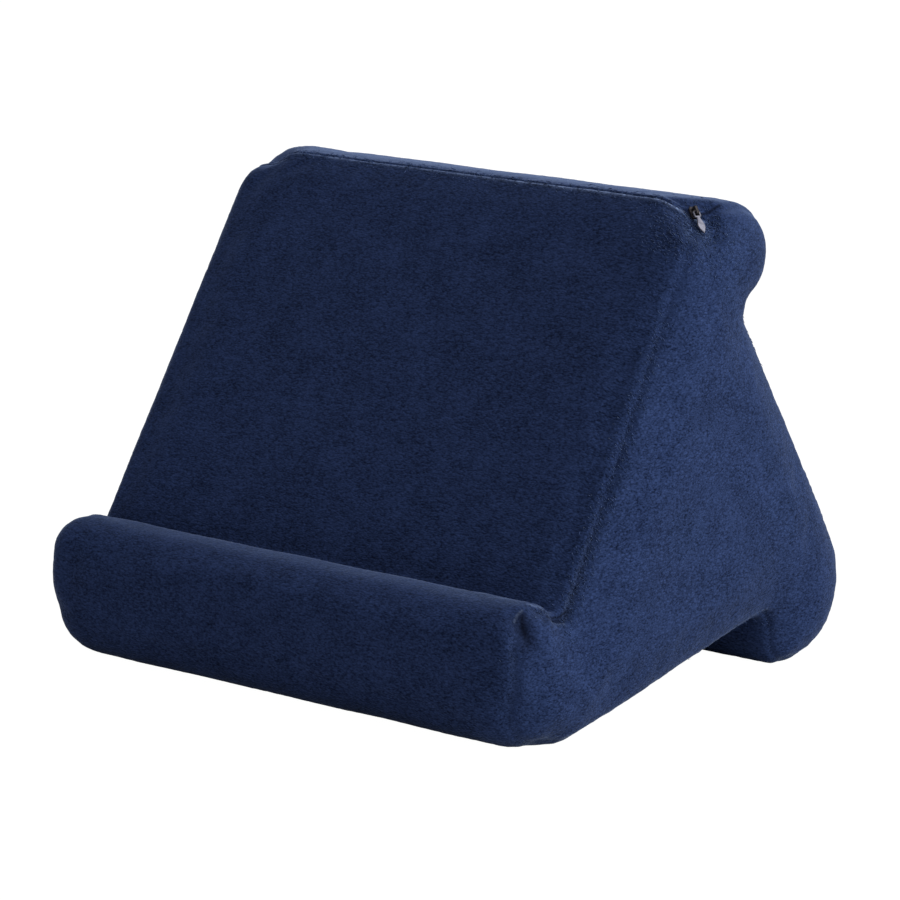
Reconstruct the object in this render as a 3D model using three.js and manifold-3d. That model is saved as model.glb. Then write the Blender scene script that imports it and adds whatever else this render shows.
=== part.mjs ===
// Tablet pillow stand: a stuffed plush wedge with a soft roll along each of its three corners.
// Each roll stands proud of one face and makes a ledge there, so the wedge holds a tablet at a
// different slope on each face. The cover is one long wrap closed by two end panels, with a zip
// along the top front edge.
// Millimetres. X runs across the width, -Y is the front, +Z is up and Z = 0 is the table.
import * as THREE from "three";
import Module from "manifold-3d";
import { mergeVertices } from "three/addons/utils/BufferGeometryUtils.js";

const wasm = await Module();
wasm.setup();

// Driving sizes of the stuffed cover
const HALF_WIDTH = 133.5; // from the middle to an end panel, at the table
const LEAN_UP = 0.025; // how fast the end panels lean in towards the top
const LEAN_BACK = 0.012; // and towards the back
const END_CROWN = 5; // how far the end panels swell in their middle
const FACE_CROWN = 2.6; // swell in the middle of a long face
const LONG_FACE = 120; // a face this long or longer swells in full
const EDGE_ROUND = 11; // soft edge between the wrap and an end panel
const SEAM_TURN = 35; // degrees round the soft edge at which the end seam runs
const SEAM_DEPTH = 1.2; // how far the stitching draws an end seam in
const DRAW_REACH = 30; // how far along the seam a drawn-in corner is felt
const ZIP_GROOVE = 2; // how far the zip sinks between the two edges it joins
const ZIP_KNOT = 3; // how far the end of the zip is drawn in besides
const PRESSED = -0.8; // the rolls reach this low, and the table presses them flat

// Corners of the cross-section before they are rounded, anticlockwise seen from +X. draw is how
// much rounder the end seam draws that corner.
const CORNERS = [
  { name: "front roll, lower edge", y: -116, z: PRESSED, radius: 23, draw: 9 },
  { name: "front roll, end of its foot", y: -78, z: PRESSED, radius: 60, draw: 0 },
  { name: "arch beside the rear foot", y: 61.5, z: 25.5, radius: 7, draw: 0 },
  { name: "rear foot, front edge", y: 66, z: PRESSED, radius: 10, draw: 0 },
  { name: "rear foot, back", y: 144, z: PRESSED, radius: 35, draw: 2 },
  { name: "notch under the top roll", y: 43, z: 158.5, radius: 7, draw: 0 },
  { name: "top roll", y: 88, z: 197, radius: 23, draw: 2 },
  { name: "zip edge", y: 14, z: 212.5, radius: 6, draw: 13, zip: true },
  { name: "trough", y: -84.5, z: 51, radius: 4, draw: 0 },
  { name: "ledge, back edge", y: -91, z: 61, radius: 9, draw: 3 },
  { name: "ledge, front edge", y: -116, z: 60.5, radius: 15, draw: 3 },
];

// The filling is thickest along lines from the middle of the wedge into its rolls. full is the
// share of the end panel's crown there.
const CORES = {
  body: { y: 0, z: 70, full: 1 },
  frontRoll: { y: -97, z: 33, full: 0.7 },
  rearFoot: { y: 86, z: 36, full: 0.8 },
  neck: { y: 12, z: 158, full: 0.7 },
  topRoll: { y: 32, z: 186, full: 0.9 },
};
const CORE_LINES = [
  { from: CORES.body, to: CORES.frontRoll },
  { from: CORES.body, to: CORES.rearFoot },
  { from: CORES.body, to: CORES.neck },
  { from: CORES.neck, to: CORES.topRoll },
];

// How finely the cover is divided
const FACE_STEP = 13; // along the straight stretches of the section
const ROLL_STEP = 5; // along its rounded stretches
const FACE_SPANS = 5; // across half of the width, up to the soft edge
const EDGE_TURNS = [SEAM_TURN / 2, SEAM_TURN, (SEAM_TURN + 90) / 2, 90];
const PANEL_RISES = [0.3, 0.75]; // shares of the way from the soft edge to the core
const CORE_FOCUS = 5; // how much more a nearer core line counts
const DEEPEST_FOLD = 0.65; // share of the way to the core that the soft edge may take

// The zip's slider, with its bridge, and the leaf-shaped pull that hangs from the bridge
const SLIDER = { length: 5.6, width: 4.2, base: 1.2, corner: 1.2 };
const SLIDER_LIFT = 1.3; // from the bottom of the drawn-in corner to the slider's underside
const SLIDER_TILT = 45; // degrees that the slider leans from the top towards the end panel
const BRIDGE = { length: 4, width: 1.3, height: 2.4, leg: 0.8, roof: 0.8 };
const PULL = { length: 11, width: 3.3, neck: 1.5, thick: 0.8 };
const PULL_EYE = { width: 3.3, bar: 0.7, hole: 1.9, holeLength: 1.6 };
const PULL_LIFT = 0.4; // between the slider's base and the pull that lies over it
const METAL_BEVEL = 0.15; // on every edge of the slider and the pull
const HANG = new THREE.Vector3(0, 0, -1); // the pull hangs straight down over the cover

// The cross-section as lines and arcs, with x holding Y and y holding Z.
function roundedOutline(corners) {
  const outline = new THREE.Path();
  corners.forEach((corner, i) => {
    const before = corners.at(i - 1);
    const after = corners[(i + 1) % corners.length];
    const here = new THREE.Vector2(corner.y, corner.z);
    const back = new THREE.Vector2(before.y, before.z).sub(here).normalize();
    const on = new THREE.Vector2(after.y, after.z).sub(here).normalize();
    const half = Math.acos(back.dot(on)) / 2;
    const reach = corner.radius / Math.tan(half);
    const toCentre = corner.radius / Math.sin(half);
    const centre = back.clone().add(on).setLength(toCentre).add(here);
    const start = back.clone().multiplyScalar(reach).add(here).sub(centre);
    const end = on.clone().multiplyScalar(reach).add(here).sub(centre);
    const hollow = back.cross(on) > 0;
    outline.absarc(centre.x, centre.y, corner.radius, start.angle(), end.angle(), hollow);
  });
  outline.closePath();
  return outline;
}

// The core beside a point of the section: the nearest places on the core lines, the nearest one
// counting most. x holds Y, y holds Z and z the share of the crown.
function coreBeside(point) {
  const here = new THREE.Vector3(point.x, point.y, 0);
  const core = new THREE.Vector3();
  let total = 0;
  for (const { from, to } of CORE_LINES) {
    const start = new THREE.Vector3(from.y, from.z, 0);
    const line = new THREE.Line3(start, new THREE.Vector3(to.y, to.z, 0));
    const share = line.closestPointToPointParameter(here, true);
    const foot = line.at(share, new THREE.Vector3());
    const weight = foot.distanceTo(here) ** -CORE_FOCUS;
    foot.setZ(THREE.MathUtils.lerp(from.full, to.full, share));
    core.addScaledVector(foot, weight);
    total += weight;
  }
  return core.divideScalar(total);
}

// How strongly a drawn-in corner is felt at a distance along the seam: 1 at the corner.
function felt(distance) {
  return Math.max(0, 1 - distance / DRAW_REACH) ** 2;
}

// Points round the section. Each knows its way out, how far its face swells, the radius of its
// soft edge and its core.
function sectionPoints(corners) {
  const points = [];
  const curves = roundedOutline(corners).curves;
  const arcs = curves.filter((curve) => !curve.isLineCurve);
  let here = null;
  for (const curve of curves) {
    const straight = curve.isLineCurve;
    here = straight ? here : corners[arcs.indexOf(curve)];
    const next = straight ? corners[(corners.indexOf(here) + 1) % corners.length] : here;
    const length = curve.getLength();
    const steps = Math.ceil(length / (straight ? FACE_STEP : ROLL_STEP));
    const fullness = straight ? Math.min(1, length / LONG_FACE) : 0;
    for (let i = 0; i < steps; i++) {
      const share = i / steps;
      const at = curve.getPoint(share);
      const near = straight ? felt(share * length) : 1;
      const far = straight ? felt((1 - share) * length) : 0;
      points.push({
        at,
        core: coreBeside(at),
        swell: FACE_CROWN * fullness * 4 * share * (1 - share),
        edge: EDGE_ROUND + here.draw * near + next.draw * far,
        knot: (here.zip ? near : 0) + (next.zip ? far : 0),
        zip: Boolean(here.zip) && !straight && 2 * i === steps,
      });
    }
  }
  points.forEach((point, i) => {
    const before = points.at(i - 1).at;
    const after = points[(i + 1) % points.length].at;
    point.out = new THREE.Vector2(after.y - before.y, before.x - after.x).normalize();
  });
  return points;
}

// Stations from the middle of the width to the right end. across runs over the flat of the wrap,
// turn goes round the soft edge and rise goes up the end panel to its core.
function halfStations() {
  const stations = [];
  for (let i = 0; i <= FACE_SPANS; i++) {
    stations.push({ across: i / FACE_SPANS, turn: 0, rise: 0 });
  }
  for (const turn of EDGE_TURNS) {
    stations.push({ across: 1, turn, rise: 0 });
  }
  for (const rise of PANEL_RISES) {
    stations.push({ across: 1, turn: 90, rise });
  }
  return stations;
}

// One point of the cover, at a station on the right or, with side -1, on the left.
function coverPoint(point, { across, turn, rise }, side) {
  const angle = THREE.MathUtils.degToRad(turn);
  const seam = turn === SEAM_TURN ? SEAM_DEPTH : 0;
  const knot = turn > 0 && rise === 0 ? ZIP_KNOT * point.knot * Math.cos(angle - Math.PI / 4) : 0;
  const reach = point.edge - seam - knot;
  const fold = point.edge - reach * Math.cos(angle);
  const swell = point.swell * (1 - across * across) - (point.zip ? ZIP_GROOVE : 0);
  const core = new THREE.Vector2(point.core.x, point.core.y);
  const at = point.out.clone().multiplyScalar(swell).add(point.at);
  const folded = Math.min(fold / at.distanceTo(core), DEEPEST_FOLD);
  at.lerp(core, turn > 0 ? folded + (1 - folded) * rise : 0);
  const half = HALF_WIDTH - LEAN_UP * at.y - LEAN_BACK * at.x;
  const crown = END_CROWN * point.core.z * Math.sin(rise * Math.PI / 2);
  const x = (half - point.edge) * across + reach * Math.sin(angle) + crown;
  return new THREE.Vector3(side * x, at.x, Math.max(at.y, 0));
}

// The stuffed cover as one closed surface: rings of points across the width, closed at each end.
function cushionGeometry(points) {
  const stations = halfStations();
  const left = stations.slice(1).reverse();
  const rings = [
    ...left.map((station) => points.map((point) => coverPoint(point, station, -1))),
    ...stations.map((station) => points.map((point) => coverPoint(point, station, 1))),
  ];
  const vertices = rings.flat();
  const count = points.length;
  const faces = [];
  for (let ring = 0; ring + 1 < rings.length; ring++) {
    for (let i = 0; i < count; i++) {
      const a = ring * count + i;
      const b = ring * count + (i + 1) % count;
      faces.push(a, b, b + count, a, b + count, a + count);
    }
  }
  const lastRing = vertices.length - count;
  const contour = rings.at(-1).map((vertex) => new THREE.Vector2(vertex.y, vertex.z));
  for (const [a, b, c] of THREE.ShapeUtils.triangulateShape(contour, [])) {
    faces.push(lastRing + a, lastRing + b, lastRing + c);
    faces.push(c, b, a);
  }
  const geometry = new THREE.BufferGeometry().setFromPoints(vertices);
  geometry.setIndex(faces);
  return geometry;
}

// Joins closed shapes into one.
function joined(...geometries) {
  const solids = geometries.map((geometry) => {
    const bare = new THREE.BufferGeometry();
    bare.setAttribute("position", geometry.getAttribute("position"));
    bare.setIndex(geometry.getIndex());
    const merged = mergeVertices(bare);
    const vertProperties = Float32Array.from(merged.getAttribute("position").array);
    const triVerts = Uint32Array.from(merged.getIndex().array);
    return new wasm.Manifold(new wasm.Mesh({ numProp: 3, vertProperties, triVerts }));
  });
  const mesh = wasm.Manifold.union(solids).getMesh();
  const result = new THREE.BufferGeometry();
  result.setAttribute("position", new THREE.BufferAttribute(mesh.vertProperties, 3));
  result.setIndex(new THREE.BufferAttribute(mesh.triVerts, 1));
  return result;
}

// A plate in its own plane, with a small bevel all round.
function plate(shape, thick) {
  return new THREE.ExtrudeGeometry(shape, {
    depth: thick - 2 * METAL_BEVEL,
    bevelThickness: METAL_BEVEL,
    bevelSize: METAL_BEVEL,
    bevelOffset: -METAL_BEVEL,
    bevelSegments: 1,
    curveSegments: 5,
  }).translate(0, 0, METAL_BEVEL);
}

// The slider: x runs towards the hanging pull, z out of the cover, and its underside is z = 0.
function sliderGeometry() {
  const base = new THREE.Shape();
  const along = SLIDER.length / 2 - SLIDER.corner;
  const aside = SLIDER.width / 2 - SLIDER.corner;
  base.absarc(along, aside, SLIDER.corner, 0, Math.PI / 2);
  base.absarc(-along, aside, SLIDER.corner, Math.PI / 2, Math.PI);
  base.absarc(-along, -aside, SLIDER.corner, Math.PI, 1.5 * Math.PI);
  base.absarc(along, -aside, SLIDER.corner, 1.5 * Math.PI, 2 * Math.PI);
  const foot = SLIDER.base / 2;
  const top = SLIDER.base + BRIDGE.height;
  const roof = top - BRIDGE.roof;
  const outer = BRIDGE.length / 2;
  const inner = outer - BRIDGE.leg;
  const bridge = new THREE.Shape();
  bridge.moveTo(inner, foot);
  bridge.lineTo(outer, foot);
  bridge.lineTo(outer, roof);
  bridge.quadraticCurveTo(outer, top, outer / 2, top);
  bridge.lineTo(-outer / 2, top);
  bridge.quadraticCurveTo(-outer, top, -outer, roof);
  bridge.lineTo(-outer, foot);
  bridge.lineTo(-inner, foot);
  bridge.lineTo(-inner, roof);
  bridge.lineTo(inner, roof);
  bridge.closePath();
  const bridgePlate = plate(bridge, BRIDGE.width);
  bridgePlate.rotateX(Math.PI / 2).translate(0, BRIDGE.width / 2, 0);
  return joined(plate(base, SLIDER.base), bridgePlate);
}

// The pull: its eye is round the front leg of the bridge and its leaf points along x.
function pullGeometry() {
  const inner = BRIDGE.length / 2 - BRIDGE.leg;
  const holeStart = inner + BRIDGE.leg / 2 - PULL_EYE.holeLength / 2;
  const start = holeStart - PULL_EYE.bar;
  const holeEnd = holeStart + PULL_EYE.holeLength;
  const eyeEnd = holeEnd + PULL_EYE.bar;
  const end = start + PULL.length;
  const widest = (eyeEnd + end) / 2;
  const ease = (end - eyeEnd) / 6;
  const eye = PULL_EYE.width / 2;
  const neck = PULL.neck / 2;
  const wide = PULL.width / 2;
  const leaf = new THREE.Shape();
  leaf.moveTo(start, -eye / 2);
  leaf.quadraticCurveTo(start, -eye, holeStart, -eye);
  leaf.lineTo(holeEnd, -eye);
  leaf.quadraticCurveTo(eyeEnd, -eye, eyeEnd, -neck);
  leaf.bezierCurveTo(eyeEnd + ease, -neck, widest - ease, -wide, widest, -wide);
  leaf.bezierCurveTo(widest + ease, -wide, end - ease, -neck, end, 0);
  leaf.bezierCurveTo(end - ease, neck, widest + ease, wide, widest, wide);
  leaf.bezierCurveTo(widest - ease, wide, eyeEnd + ease, neck, eyeEnd, neck);
  leaf.quadraticCurveTo(eyeEnd, eye, holeEnd, eye);
  leaf.lineTo(holeStart, eye);
  leaf.quadraticCurveTo(start, eye, start, eye / 2);
  leaf.closePath();
  const hole = new THREE.Path();
  hole.moveTo(holeStart, -PULL_EYE.hole / 2);
  hole.lineTo(holeStart, PULL_EYE.hole / 2);
  hole.lineTo(holeEnd, PULL_EYE.hole / 2);
  hole.lineTo(holeEnd, -PULL_EYE.hole / 2);
  hole.closePath();
  leaf.holes.push(hole);
  return joined(plate(leaf, PULL.thick)).translate(0, 0, SLIDER.base + PULL_LIFT);
}

// Where the slider sits: at the right end of the zip, drawn into the corner of the cover.
function zipEnd(points) {
  const zip = points.find((point) => point.zip);
  const at = coverPoint(zip, { across: 1, turn: SEAM_TURN, rise: 0 }, 1);
  const tilt = THREE.MathUtils.degToRad(SLIDER_TILT);
  const out = new THREE.Vector3(0, zip.out.x, zip.out.y).multiplyScalar(Math.cos(tilt));
  out.setX(Math.sin(tilt));
  const along = HANG.clone().projectOnPlane(out).normalize();
  const aside = out.clone().cross(along);
  const place = new THREE.Matrix4().makeBasis(along, aside, out);
  return place.setPosition(at.addScaledVector(out, SLIDER_LIFT));
}

const plush = new THREE.MeshStandardMaterial({ color: 0x232f55, roughness: 0.95, metalness: 0 });
const darkMetal = new THREE.MeshStandardMaterial({ color: 0x4a4650, roughness: 0.4, metalness: 1 });
const paleMetal = new THREE.MeshStandardMaterial({ color: 0xb9b2ba, roughness: 0.35, metalness: 1 });

function part(name, geometry, material) {
  const mesh = new THREE.Mesh(geometry, material);
  mesh.name = name;
  return mesh;
}

const section = sectionPoints(CORNERS);
const atZipEnd = zipEnd(section);
const stand = new THREE.Group();
stand.add(part("cushion", cushionGeometry(section), plush));
stand.add(part("zip_slider", sliderGeometry().applyMatrix4(atZipEnd), darkMetal));
stand.add(part("zip_pull", pullGeometry().applyMatrix4(atZipEnd), paleMetal));

// The frame's Y is measured from the middle of the depth.
const bounds = new THREE.Box3().setFromObject(stand);
const middle = bounds.getCenter(new THREE.Vector3());
stand.children.forEach((mesh) => mesh.geometry.translate(0, -middle.y, 0));

export default stand;
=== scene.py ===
# %% [markdown]
# This lesson dresses a tablet pillow stand: a stuffed wedge of navy plush with a soft roll along
# each of its corners and a zip along its top front edge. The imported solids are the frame, and they
# are never moved. Every soft piece made here takes its place from one table of corners.

# %% Load the frame
import math

import bpy
import numpy as np
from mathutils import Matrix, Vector, noise
from mathutils.bvhtree import BVHTree
from mathutils.geometry import delaunay_2d_cdt
from mathutils.kdtree import KDTree


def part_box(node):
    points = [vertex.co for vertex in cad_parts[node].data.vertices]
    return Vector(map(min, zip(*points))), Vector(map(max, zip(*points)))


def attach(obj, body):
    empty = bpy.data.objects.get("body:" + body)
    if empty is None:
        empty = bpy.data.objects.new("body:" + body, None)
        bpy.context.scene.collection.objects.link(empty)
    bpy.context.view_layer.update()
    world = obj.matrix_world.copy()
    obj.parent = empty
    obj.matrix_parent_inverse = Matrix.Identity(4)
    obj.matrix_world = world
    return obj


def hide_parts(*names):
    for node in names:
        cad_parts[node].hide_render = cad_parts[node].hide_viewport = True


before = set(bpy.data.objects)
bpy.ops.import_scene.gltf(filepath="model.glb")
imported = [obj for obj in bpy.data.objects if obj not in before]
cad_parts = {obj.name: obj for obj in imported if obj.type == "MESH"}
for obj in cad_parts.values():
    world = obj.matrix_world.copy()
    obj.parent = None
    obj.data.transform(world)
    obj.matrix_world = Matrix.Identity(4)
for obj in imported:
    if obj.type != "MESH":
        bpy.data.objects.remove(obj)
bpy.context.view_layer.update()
MM = 0.001

# %% [markdown]
# The camera stands where the photographer stood. A long lens far away keeps the edges nearly
# parallel, which is how the real picture looks. The numbers come from fitting the outline of the
# solids to the outline in the picture. Aiming a little below the middle of the stand puts it in the
# same part of the frame, so no lens shift is needed.

# %% Camera
FRAME_PIXELS = 900
FOCAL_PIXELS = 4300
SENSOR_MM = 36
AZIMUTH = math.radians(39.56)
ELEVATION = math.radians(12.28)
DISTANCE = 1864.65 * MM
MIDDLE = Vector((0, 0, 100 * MM))
MIDDLE_SEEN_AT = (447.14, 427.42)  # pixels, where the middle shows in the picture


def make_camera():
    right = Vector((math.cos(AZIMUTH), math.sin(AZIMUTH), 0))
    ahead = Vector((-math.sin(AZIMUTH), math.cos(AZIMUTH), 0))
    forward = ahead * math.cos(ELEVATION) - Vector((0, 0, math.sin(ELEVATION)))
    up = right.cross(forward)
    pixel = DISTANCE / FOCAL_PIXELS
    centre = FRAME_PIXELS / 2
    aim = MIDDLE + right * (centre - MIDDLE_SEEN_AT[0]) * pixel
    aim += up * (MIDDLE_SEEN_AT[1] - centre) * pixel
    data = bpy.data.cameras.new("camera")
    data.sensor_width = SENSOR_MM
    data.lens = FOCAL_PIXELS / FRAME_PIXELS * SENSOR_MM
    camera = bpy.data.objects.new("camera", data)
    camera.location = MIDDLE - forward * DISTANCE
    camera.rotation_euler = (aim - camera.location).to_track_quat("-Z", "Y").to_euler()
    bpy.context.collection.objects.link(camera)
    bpy.context.scene.camera = camera
    return camera


camera = make_camera()
print("lens", round(camera.data.lens, 1), "mm at", [round(v, 3) for v in camera.location])

# %% [markdown]
# The cover of a stuffed wedge is one long strip of cloth wrapped round it, closed by a panel at each
# end. Its cross-section could be drawn by hand as a curve, but a short table of corners with radii
# is easier to check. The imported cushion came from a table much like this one, so the cover fits it.

# %% The table of corners
PRESSED = -0.8  # the rolls reach this low, and the table presses them flat
# Corners before rounding, in millimetres: y, z, radius, how much rounder the end seam draws the
# corner, and how much of that seam shows there between the fibres of the plush
CORNERS = {
    "roll_low": (-116, PRESSED, 20.5, 11, 0.2),
    "roll_foot": (-78, PRESSED, 60, 1.5, 0.2),
    "arch": (61.5, 25.5, 7, 0, 0.5),
    "foot_front": (66, PRESSED, 10, 2, 0.3),
    "foot_back": (146, PRESSED, 36, 2, 0.15),
    "notch": (43.4, 160.3, 4.5, 0, 0.5),
    "top_roll": (103, 197, 22.1, 0, 0.1),
    "zip": (14, 210.4, 6, 14, 0.65),
    "trough": (-84.5, 51, 4, 0, 1),
    "ledge_back": (-91, 61, 9, 3, 0.6),
    "ledge_front": (-116, 60.5, 15, 3, 0.35),
}
HELD_IN = ("arch", "notch", "trough")  # hollow corners that a hidden row of stitches holds in
print(len(CORNERS), "corners,", len(HELD_IN), "of them hollow")

# %% [markdown]
# Each corner becomes an arc that touches the faces on both sides of it. A Bevel modifier could round
# them too, but with arcs worked out here every point knows which corner or face it belongs to.

# %% Rounded corners
def unit(vector):
    return vector / np.linalg.norm(vector)


def corner_arcs():
    names = list(CORNERS)
    arcs = {}
    for i, name in enumerate(names):
        here = np.array(CORNERS[name][:2], float)
        back = unit(np.array(CORNERS[names[i - 1]][:2]) - here)
        on = unit(np.array(CORNERS[names[(i + 1) % len(names)]][:2]) - here)
        radius = CORNERS[name][2]
        half = math.acos(back @ on) / 2
        centre = here + unit(back + on) * radius / math.sin(half)
        start = here + back * radius / math.tan(half)
        hollow = back[0] * on[1] - back[1] * on[0] > 0
        sweep = (math.pi - 2 * half) * (-1 if hollow else 1)
        first = math.atan2(*(start - centre)[::-1])
        arcs[name] = {"centre": centre, "radius": radius, "first": first, "sweep": sweep}
    return arcs


def arc_point(arc, share):
    angle = arc["first"] + arc["sweep"] * share
    return arc["centre"] + arc["radius"] * np.array((math.cos(angle), math.sin(angle)))


arcs = corner_arcs()
print("widest turn", round(math.degrees(max(abs(arc["sweep"]) for arc in arcs.values()))), "degrees")

# %% [markdown]
# Points now go round the section, close together where it bends and further apart on the faces. Each
# point is a row that also holds what later steps ask for: how round its end edge is, how far the face
# swells, how far it is from the zip, whether stitches hold it, and how much of the end seam shows.

# %% Points round the section
EDGE_ROUND = 11
DRAW_REACH = 20
SEAM_FADE = 6
FACE_CROWN = 0.8
LONG_FACE = 120
FACE_STEP = 4.4
ROLL_STEP = 3
HOLLOW_STEP = 1.6
ZIP_STEP = 0.42
COLUMNS = ("at", "edge", "swell", "zip", "held", "knot", "seam")


def felt(distance):
    """How much of a corner's draw is felt at a distance from it."""
    return max(0, 1 - distance / DRAW_REACH) ** 2


def seam_between(first, second, share):
    """How much of the seam shows along a face: it fades fast on leaving the stronger corner."""
    near = 1 - share if first > second else share
    return min(first, second) + abs(first - second) * near**SEAM_FADE


def corner_rows(name):
    """Rows for the points round a corner, in the order of COLUMNS."""
    draw, shows = CORNERS[name][3:]
    length = abs(arcs[name]["radius"] * arcs[name]["sweep"])
    step = ZIP_STEP if name == "zip" else HOLLOW_STEP if name in HELD_IN else ROLL_STEP
    steps = 2 * math.ceil(length / step / 2)
    rows = []
    for k in range(steps):
        share = k / steps
        offset = (share - 0.5) * length if name == "zip" else math.inf
        held = name in HELD_IN and 2 * k == steps
        at = arc_point(arcs[name], share)
        rows.append((at, EDGE_ROUND + draw, 0, offset, held, name == "zip", shows))
    return rows


def face_rows(name, after):
    """Rows for the points along the face from one corner to the next."""
    draw, shows = CORNERS[name][3:]
    draw_after, shows_after = CORNERS[after][3:]
    start = arc_point(arcs[name], 1)
    end = arc_point(arcs[after], 0)
    length = np.linalg.norm(end - start)
    steps = math.ceil(length / FACE_STEP)
    rows = []
    for k in range(steps):
        share = k / steps
        near = felt(share * length)
        far = felt((1 - share) * length)
        edge = EDGE_ROUND + draw * near + draw_after * far
        swell = FACE_CROWN * min(1, length / LONG_FACE) * 4 * share * (1 - share)
        knot = near if name == "zip" else far if after == "zip" else 0
        at = start + (end - start) * share
        seen = seam_between(shows, shows_after, share)
        rows.append((at, edge, swell, math.inf, False, knot, seen))
    return rows


def section_points():
    names = list(CORNERS)
    rows = []
    for name, after in zip(names, names[1:] + names[:1]):
        rows += corner_rows(name) + face_rows(name, after)
    columns = [np.array(column, float) for column in zip(*rows)]
    return dict(zip(COLUMNS, columns))


section = section_points()
steps_round = np.linalg.norm(np.roll(section["at"], -1, 0) - section["at"], axis=1)
print(len(section["at"]), "points round a section of", round(steps_round.sum()), "mm")

# %% [markdown]
# Round an end edge the cloth folds in towards the thick of the stuffing. Folding it towards a single
# middle would flatten the rolls, so short lines run along the middle of each limb of the section, and
# every point folds towards the lines that are near it.

# %% Where the cover folds in
# Lines along the middle of the stuffing, from and to a place (y, z) in millimetres
CORE_LINES = (((0, 70), (-97, 33)), ((0, 70), (86, 36)), ((0, 70), (12, 158)), ((12, 158), (32, 186)))
CORE_FOCUS = 5


def core_beside(at):
    total = 0
    core = 0
    for start, end in np.array(CORE_LINES, float):
        along = end - start
        share = np.clip((at - start) @ along / (along @ along), 0, 1)
        foot = start + share[:, None] * along
        weight = np.linalg.norm(foot - at, axis=1)[:, None] ** -CORE_FOCUS
        core = core + foot * weight
        total = total + weight
    return core / total


def pointing_out(at):
    """Unit vectors that point out of a closed section."""
    along = np.roll(at, -1, 0) - np.roll(at, 1, 0)
    out = np.stack((along[:, 1], -along[:, 0]), 1)
    return out / np.linalg.norm(out, axis=1)[:, None]


section["core"] = core_beside(section["at"])
section["out"] = pointing_out(section["at"])
thickest = np.linalg.norm(section["core"] - section["at"], axis=1).max()
print("the stuffing is up to", round(thickest), "mm deep")

# %% [markdown]
# The zip lies in a narrow groove between two folded lips. It gapes in some places and is shut in
# others, as a soft zip does, and it ends before the left corner. A groove could be cut with a boolean,
# but a profile added to the rows beside the zip keeps the grid of the cloth whole.

# %% Lips of the zip
HALF_WIDTH = 133.5
SEAM_TURN = 35
GROOVE_DEPTH = 0.9
GROOVE_WIDTH = 0.26
BACK_LIP = 0.25
FRONT_LIP = 0.6
LIP_PLACE = 1.35
LIP_WIDTH = 0.7
GAPE_LENGTH = 9
GAPE_LEAST = 0.1
GAPE_USUAL = 0.4
GAPE_DRIFT = 0.9
GAPE_AT_SLIDER = 6  # the power that keeps the slider's pull to the right end


def zip_profile(offset):
    """How far the cloth stands out beside the zip. The front lip is the fuller one."""
    groove = -GROOVE_DEPTH * np.exp(-((offset / GROOVE_WIDTH) ** 2))
    lip = np.where(offset > 0, FRONT_LIP, BACK_LIP)
    return groove + lip * np.exp(-(((np.abs(offset) - LIP_PLACE) / LIP_WIDTH) ** 2))


def zip_gape(across, turn):
    """How far the zip gapes on a ring, from 0 to 1. The slider holds it open at the right end."""
    drift = noise.noise(Vector((across * HALF_WIDTH / GAPE_LENGTH, 0, 0)))
    ending = 1 - turn / SEAM_TURN if across < 0 else 1
    gape = GAPE_USUAL + GAPE_DRIFT * drift + max(0, across) ** GAPE_AT_SLIDER
    return ending * min(1, max(GAPE_LEAST, gape))


print("the lips stand out by up to", round(zip_profile(section["zip"]).max(), 2), "mm")

# %% [markdown]
# The wrap is a grid: points round the section, repeated across the width, with the last rows going round a
# soft edge as far as the end seam. The top left corner is drawn in more than the right one, because the zip
# ends there without a slider, so a few listed places near it are pushed.

# %% The wrap
LEAN_UP = 0.021
LEAN_BACK = 0.012
SEAM_DEPTH = 1.2
LEFT_SEAM = 0.2  # how much of the seam shows at the left end, where the pile hides it
ZIP_KNOT = 3
ACROSS_SPANS = 30
EDGE_TURNS = (12, 24, SEAM_TURN)
SWELL_FLATNESS = 8
DEEPEST_FOLD = 0.65
# Places near the top left corner in millimetres, how far they move, and the reach
LEFT_DRAWS = (
    ((-111, 24, 207), (2.6, 0, -1.6), 8),
    ((-118, 25, 205), (2, 0, -2), 6),
    ((-110.5, 31.5, 207.7), (0, 0, 0.8), 7),
    ((-109, 15, 207), (0, 0, -2), 7),
    ((-122, 10, 199), (-1.2, 0, 2.2), 9),
    ((-105, 33, 209), (0, 0, 0.9), 13),
)


def half_width(at):
    return HALF_WIDTH - LEAN_UP * at[:, 1] - LEAN_BACK * at[:, 0]


def wrap_ring(across, turn, gape, seam_share):
    """One ring of the wrap, at a share of the flat or a turn round the edge, made on the right half."""
    angle = math.radians(turn)
    edge = section["edge"]
    seam = SEAM_DEPTH * seam_share if turn == SEAM_TURN else 0
    knot = ZIP_KNOT * section["knot"] * math.cos(angle - math.pi / 4) if turn else 0
    reach = edge - seam - knot
    fold = (edge - reach * math.cos(angle)) if turn else 0 * edge
    lift = section["swell"] * (1 - across**SWELL_FLATNESS) + gape * zip_profile(section["zip"])
    at = section["at"] + section["out"] * lift[:, None]
    inward = section["core"] - at
    at = at + inward * np.minimum(fold / np.linalg.norm(inward, axis=1), DEEPEST_FOLD)[:, None]
    x = (half_width(at) - edge) * across + reach * math.sin(angle)
    return np.column_stack((x, at))


def left_drawn(points):
    moved = points
    for middle, move, reach in LEFT_DRAWS:
        gap = np.linalg.norm(points - middle, axis=1)
        moved = moved + np.exp(-((gap / reach) ** 2))[:, None] * np.array(move)
    return moved


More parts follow.
